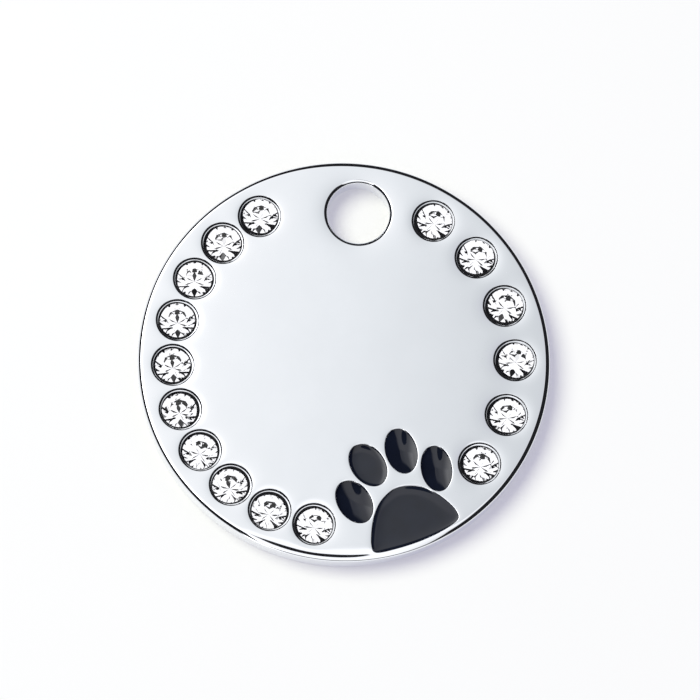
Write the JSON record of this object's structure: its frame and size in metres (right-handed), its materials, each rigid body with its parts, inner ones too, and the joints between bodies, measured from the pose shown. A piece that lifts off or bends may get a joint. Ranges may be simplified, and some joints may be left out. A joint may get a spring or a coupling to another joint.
{
  "type": "pet id tag",
  "caption": "Round polished metal pet id tag with a ring hole, a border of small round glass stones down each side and a black enamel paw print.",
  "frame": {"origin": "middle of the disc's flat back, on the surface that the tag lies on", "axes": "+Z out of the decorated face, +Y from the middle towards the ring hole, +X to the right as the face is read"},
  "size_m": [0.025, 0.025, 0.0017],
  "materials": {
    "polished_chrome": "mirror polished plating",
    "clear_glass": "cut and polished, mirror foiled at the back",
    "black_enamel": "glossy, dished",
    "stone_adhesive": "cured, glossy"
  },
  "bodies": {
    "root": {"tag_body": "polished_chrome", "pad_enamel": "black_enamel", "toe_enamel_1": "black_enamel", "toe_enamel_2": "black_enamel", "toe_enamel_3": "black_enamel", "toe_enamel_4": "black_enamel", "left_stone_01": "clear_glass", "left_stone_02": "clear_glass", "left_stone_03": "clear_glass", "left_stone_04": "clear_glass", "left_stone_05": "clear_glass", "left_stone_06": "clear_glass", "left_stone_07": "clear_glass", "left_stone_08": "clear_glass", "left_stone_09": "clear_glass", "left_stone_10": "clear_glass", "right_stone_01": "clear_glass", "right_stone_02": "clear_glass", "right_stone_03": "clear_glass", "right_stone_04": "clear_glass", "right_stone_05": "clear_glass", "right_stone_06": "clear_glass", "left_stone_bed_01": "stone_adhesive", "left_stone_bed_02": "stone_adhesive", "left_stone_bed_03": "stone_adhesive", "left_stone_bed_04": "stone_adhesive", "left_stone_bed_05": "stone_adhesive", "left_stone_bed_06": "stone_adhesive", "left_stone_bed_07": "stone_adhesive", "left_stone_bed_08": "stone_adhesive", "left_stone_bed_09": "stone_adhesive", "left_stone_bed_10": "stone_adhesive", "right_stone_bed_01": "stone_adhesive", "right_stone_bed_02": "stone_adhesive", "right_stone_bed_03": "stone_adhesive", "right_stone_bed_04": "stone_adhesive", "right_stone_bed_05": "stone_adhesive", "right_stone_bed_06": "stone_adhesive"}
  },
  "joints": []
}
